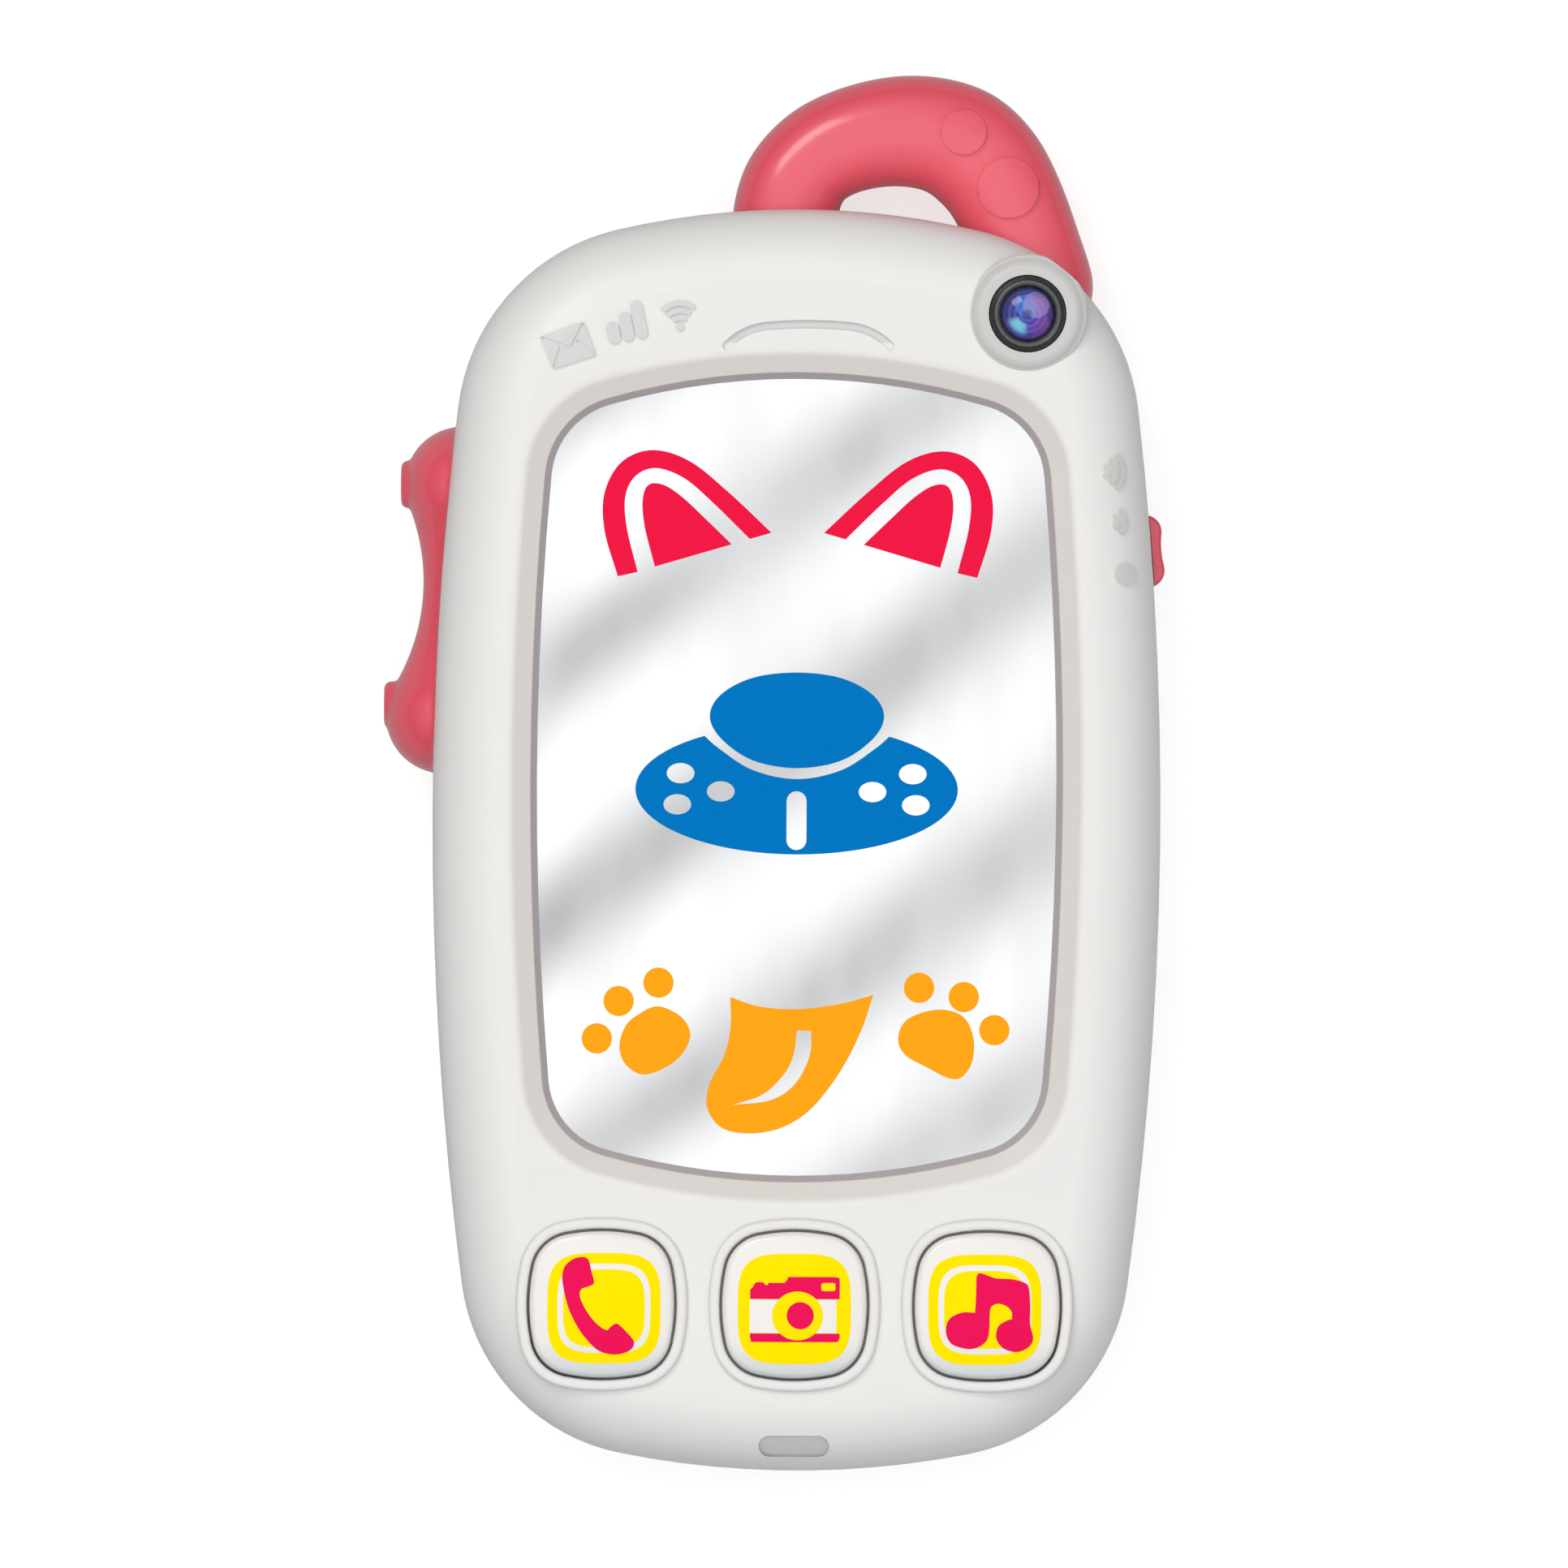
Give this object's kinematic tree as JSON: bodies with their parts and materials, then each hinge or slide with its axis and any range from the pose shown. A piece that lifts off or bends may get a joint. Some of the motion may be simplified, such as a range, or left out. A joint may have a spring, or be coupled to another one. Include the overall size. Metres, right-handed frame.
{
  "type": "toy cell phone",
  "caption": "Rounded toy phone with a mirror screen, square push buttons, a loop handle, a side grip, a volume slider and a battery door.",
  "frame": {"origin": "centre of the flat back face that the phone lies on", "axes": "+Z out of the screen, +Y towards the loop handle, +X to the right of the screen"},
  "size_m": [0.0868, 0.1552, 0.032],
  "materials": {
    "case_plastic": "semi-gloss",
    "pink_plastic": "gloss",
    "mirror_acrylic": "polished",
    "foam": "matte",
    "inner_plastic": "matte",
    "screw_steel": "satin",
    "black_plastic": "gloss",
    "clear_plastic": "clear",
    "lens_print": "gloss",
    "button_plastic": "semi-gloss",
    "silicone": "matte",
    "board_laminate": "solder mask",
    "chip_resin": "gloss",
    "component_body": "matte",
    "speaker_steel": "satin",
    "speaker_film": "matte",
    "magnet": "satin",
    "switch_metal": "satin",
    "cell_wrap": "gloss",
    "contact_metal": "nickel plated",
    "wire_sleeve": "satin"
  },
  "bodies": {
    "phone": {"front_shell": "case_plastic", "rear_shell": "case_plastic", "case_screws": "screw_steel", "handle": "pink_plastic", "side_grip": "pink_plastic", "mirror_plate": "mirror_acrylic", "mirror_gasket": "foam", "mirror_retainer": "inner_plastic", "retainer_screws": "screw_steel", "lens_ring": "black_plastic", "lens_dome": "clear_plastic", "lens_disc": "lens_print", "main_board": "board_laminate", "board_screws": "screw_steel", "chip_blob": "chip_resin", "board_components": "component_body", "speaker_frame": "speaker_steel", "speaker_cone": "speaker_film", "speaker_magnet": "magnet", "switch_body": "switch_metal", "switch_board": "board_laminate", "switch_screws": "screw_steel", "battery_cell_left": "cell_wrap", "battery_cell_right": "cell_wrap", "contact_bridge": "contact_metal", "contact_positive": "contact_metal", "contact_negative": "contact_metal", "speaker_wires": "wire_sleeve", "battery_wires": "wire_sleeve", "switch_wires": "wire_sleeve"},
    "button_phone": {"button_cap_phone": "button_plastic", "rubber_dome_phone": "silicone"},
    "button_camera": {"button_cap_camera": "button_plastic", "rubber_dome_camera": "silicone"},
    "button_music": {"button_cap_music": "button_plastic", "rubber_dome_music": "silicone"},
    "volume_slider": {"volume_knob": "pink_plastic", "switch_lever": "component_body"},
    "door": {"battery_door": "case_plastic", "door_screw": "screw_steel", "door_screw_ring": "component_body"}
  },
  "joints": [
    {"name": "press_phone", "type": "slide", "parent": "phone", "child": "button_phone", "axis": [0, 0, -1], "range_m": [0, 0.0015], "stiffness_N_per_m": 600, "springref_m": -0.001, "deforming": ["rubber_dome_phone"]},
    {"name": "press_camera", "type": "slide", "parent": "phone", "child": "button_camera", "axis": [0, 0, -1], "range_m": [0, 0.0015], "stiffness_N_per_m": 600, "springref_m": -0.001, "deforming": ["rubber_dome_camera"]},
    {"name": "press_music", "type": "slide", "parent": "phone", "child": "button_music", "axis": [0, 0, -1], "range_m": [0, 0.0015], "stiffness_N_per_m": 600, "springref_m": -0.001, "deforming": ["rubber_dome_music"]},
    {"name": "volume_slide", "type": "slide", "parent": "phone", "child": "volume_slider", "axis": [-0.0828, 0.9966, 0], "range_m": [0, 0.005]},
    {"name": "door_hinge", "type": "hinge", "parent": "phone", "child": "door", "pos_m": [0, -0.0055, 0], "axis": [1, 0, 0], "range_deg": [0, 40]}
  ]
}
